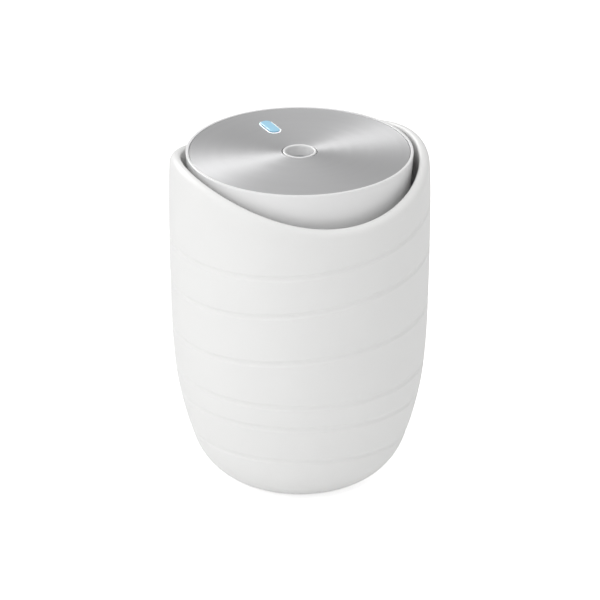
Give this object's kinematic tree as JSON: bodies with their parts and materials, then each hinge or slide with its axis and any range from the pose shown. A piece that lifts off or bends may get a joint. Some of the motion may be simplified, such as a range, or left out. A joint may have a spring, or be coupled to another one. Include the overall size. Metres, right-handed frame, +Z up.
{
  "type": "essential oil diffuser",
  "caption": "Ultrasonic essential oil diffuser: a waved barrel shell with a lift-out tank and a lift-off head with mist nozzle, wick and lit power button.",
  "frame": {"origin": "centre of the object's bounding box, on the plane that the feet stand on", "axes": "+Z up along the barrel's axis, -Y towards the front (the low lip of the rim), +Y towards the button and the power socket"},
  "size_m": [0.1094, 0.1094, 0.147],
  "materials": {
    "shell_white": "fine matt texture",
    "head_white": "satin",
    "spun_aluminium": "circular brushed",
    "frame_glow": "lit translucent white",
    "button_blue": "lit translucent blue",
    "tank_plastic": "translucent moulded",
    "foot_rubber": "matt",
    "silicone": "satin",
    "bright_steel": "bright",
    "ceramic": "fired ceramic",
    "clamp_plastic": "moulded",
    "holder_white": "moulded",
    "wick_felt": "pressed fibre",
    "board_green": "solder mask",
    "component_black": "moulded epoxy",
    "coil_ferrite": "ferrite",
    "led_white": "clear resin over phosphor",
    "lead_red": "insulated lead"
  },
  "bodies": {
    "shell": {"outer_shell": "shell_white", "foot_1": "foot_rubber", "foot_2": "foot_rubber", "foot_3": "foot_rubber", "foot_4": "foot_rubber"},
    "tank": {"water_tank": "tank_plastic"},
    "head": {"head_housing": "head_white", "head_base": "head_white", "top_plate": "spun_aluminium", "nozzle": "head_white", "button_frame": "frame_glow", "button_switch": "component_black", "control_board": "board_green", "control_chip": "component_black", "driver_coil": "coil_ferrite", "button_led_front": "led_white", "button_led_rear": "led_white", "usb_socket": "bright_steel", "upper_gasket": "silicone", "lower_gasket": "silicone", "tank_seal": "silicone", "mist_disc": "bright_steel", "piezo_ring": "ceramic", "disc_retainer": "clamp_plastic", "wick_tube": "holder_white", "wick_cap": "holder_white", "wick": "wick_felt", "wick_spring": "bright_steel", "lead_live": "lead_red", "lead_return": "component_black", "base_screw_1": "bright_steel", "base_screw_2": "bright_steel", "base_screw_3": "bright_steel", "board_screw_1": "bright_steel", "board_screw_2": "bright_steel", "board_screw_3": "bright_steel", "board_screw_4": "bright_steel", "retainer_screw_1": "bright_steel", "retainer_screw_2": "bright_steel"},
    "button": {"power_button": "button_blue", "switch_plunger": "component_black"}
  },
  "joints": [
    {"name": "tank_lift", "type": "slide", "parent": "shell", "child": "tank", "axis": [0, 0, 1], "range_m": [0, 0.145]},
    {"name": "head_lift", "type": "slide", "parent": "tank", "child": "head", "axis": [0, 0, 1], "range_m": [0, 0.11]},
    {"name": "button_press", "type": "slide", "parent": "head", "child": "button", "axis": [0, 0, -1], "range_m": [0, 0.0005], "stiffness_N_per_m": 400}
  ]
}
